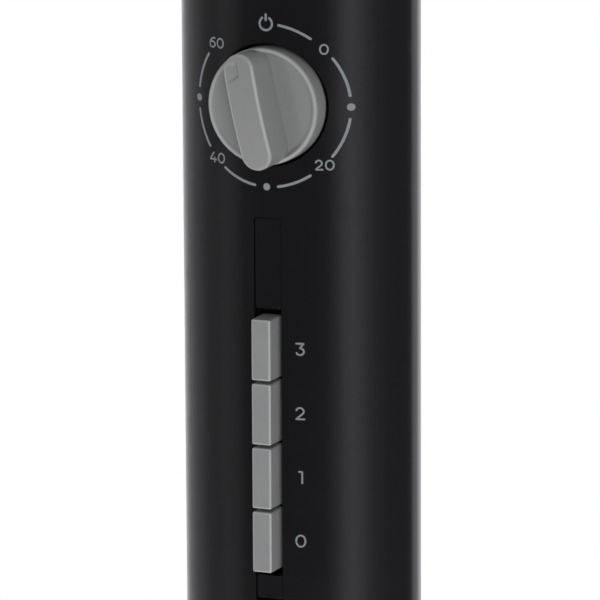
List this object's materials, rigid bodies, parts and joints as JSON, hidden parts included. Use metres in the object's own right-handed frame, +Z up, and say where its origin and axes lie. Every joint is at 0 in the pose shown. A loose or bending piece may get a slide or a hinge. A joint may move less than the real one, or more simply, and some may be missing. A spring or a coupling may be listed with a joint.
{
  "type": "tower fan",
  "caption": "Slim black tower fan on a round base, with a grey timer knob, speed keys and a swinging column.",
  "frame": {"origin": "on the floor under the swing axis, the centre of the round base", "axes": "+Z up along the column; the outlet and the controls face -Y"},
  "size_m": [0.25, 0.25, 0.85],
  "materials": {
    "black_gloss": "glossy black moulded shells",
    "black_satin": "satin black mouldings",
    "grey_plastic": "satin grey controls",
    "white_nylon": "natural nylon",
    "grey_impeller": "grey impeller plastic",
    "rubber": "black rubber",
    "steel": "bright steel",
    "zinc_steel": "zinc-plated sheet steel",
    "laminations": "laminated core",
    "copper": "enamelled copper windings",
    "brass": "tinned brass and bronze",
    "wire_jacket": "wire jacket",
    "capacitor_case": "capacitor case"
  },
  "bodies": {
    "base": {"base_shell": "black_gloss", "base_plate": "black_satin", "rubber_feet": "rubber", "base_screws": "steel", "ballast_plate": "zinc_steel", "swing_motor": "zinc_steel", "swing_motor_screws": "steel", "cord_gland": "black_satin", "terminal_block": "white_nylon", "slip_ring": "white_nylon"},
    "column": {"driver_arm": "zinc_steel", "driver_arm_screws": "steel", "column_foot": "black_satin", "front_shell": "black_gloss", "rear_shell": "black_gloss", "shell_screws": "steel", "outlet_grille": "black_satin", "inlet_grille": "black_satin", "top_cap": "black_gloss", "handle_cup": "black_satin", "scroll_wall": "black_satin", "vortex_tongue": "black_satin", "lower_bulkhead": "black_satin", "upper_bulkhead": "black_satin", "bearing_rubber": "rubber", "bearing_bush": "brass", "wire_bundle": "wire_jacket", "motor_stator": "laminations", "motor_windings": "copper", "motor_bearings": "brass", "motor_upper_cup": "zinc_steel", "motor_lower_cup": "zinc_steel", "motor_grommets": "rubber", "motor_screws": "steel", "capacitor": "capacitor_case", "timer_case": "white_nylon", "timer_screws": "steel", "key_strip": "black_gloss", "switch_case": "black_satin", "swing_switch_case": "black_satin", "switch_covers": "black_satin", "switch_terminals": "brass", "key_0_spring": "steel", "key_1_spring": "steel", "key_2_spring": "steel", "key_3_spring": "steel", "key_swing_spring": "steel"},
    "rotor": {"motor_rotor": "laminations", "motor_shaft": "steel", "impeller": "grey_impeller"},
    "crank": {"swing_crank": "white_nylon", "crank_roller": "brass"},
    "timer": {"timer_knob": "grey_plastic", "timer_shaft": "steel"},
    "latch": {"latch_bar": "steel"},
    "key_0": {"key_0": "grey_plastic"},
    "key_1": {"key_1": "grey_plastic"},
    "key_2": {"key_2": "grey_plastic"},
    "key_3": {"key_3": "grey_plastic"},
    "key_swing": {"key_swing": "grey_plastic"}
  },
  "joints": [
    {"name": "column_swing", "type": "hinge", "parent": "base", "child": "column", "pos_m": [0, 0, 0.047], "axis": [0, 0, 1], "range_deg": [-30, 30]},
    {"name": "crank_turn", "type": "hinge", "parent": "base", "child": "crank", "pos_m": [0, 0.042, 0.027], "axis": [0, 0, 1], "range_deg": [-90, 90]},
    {"name": "impeller_spin", "type": "hinge", "parent": "column", "child": "rotor", "pos_m": [0.003, 0.005, 0.3], "axis": [0, 0, 1], "continuous": true},
    {"name": "timer_turn", "type": "hinge", "parent": "column", "child": "timer", "pos_m": [0, -0.0355, 0.768], "axis": [0, 1, 0], "range_deg": [0, 326]},
    {"name": "latch_slide", "type": "slide", "parent": "column", "child": "latch", "axis": [0, 0, 1], "range_m": [-0.0015, 0.0015], "stiffness_N_per_m": 150},
    {"name": "key_0_press", "type": "slide", "parent": "column", "child": "key_0", "axis": [0, 1, 0], "range_m": [0, 0.0045], "stiffness_N_per_m": 300, "springref_m": -0.003, "deforming": ["key_0_spring"]},
    {"name": "key_1_press", "type": "slide", "parent": "column", "child": "key_1", "axis": [0, 1, 0], "range_m": [0, 0.0045], "stiffness_N_per_m": 300, "springref_m": -0.003, "deforming": ["key_1_spring"]},
    {"name": "key_2_press", "type": "slide", "parent": "column", "child": "key_2", "axis": [0, 1, 0], "range_m": [0, 0.0045], "stiffness_N_per_m": 300, "springref_m": -0.003, "deforming": ["key_2_spring"]},
    {"name": "key_3_press", "type": "slide", "parent": "column", "child": "key_3", "axis": [0, 1, 0], "range_m": [0, 0.0045], "stiffness_N_per_m": 300, "springref_m": -0.003, "deforming": ["key_3_spring"]},
    {"name": "key_swing_press", "type": "slide", "parent": "column", "child": "key_swing", "axis": [0, 1, 0], "range_m": [0, 0.0045], "stiffness_N_per_m": 300, "springref_m": -0.003, "deforming": ["key_swing_spring"]}
  ],
  "couplings": [
    {"joint": "crank_turn", "follows": "column_swing", "ratio": 3}
  ]
}
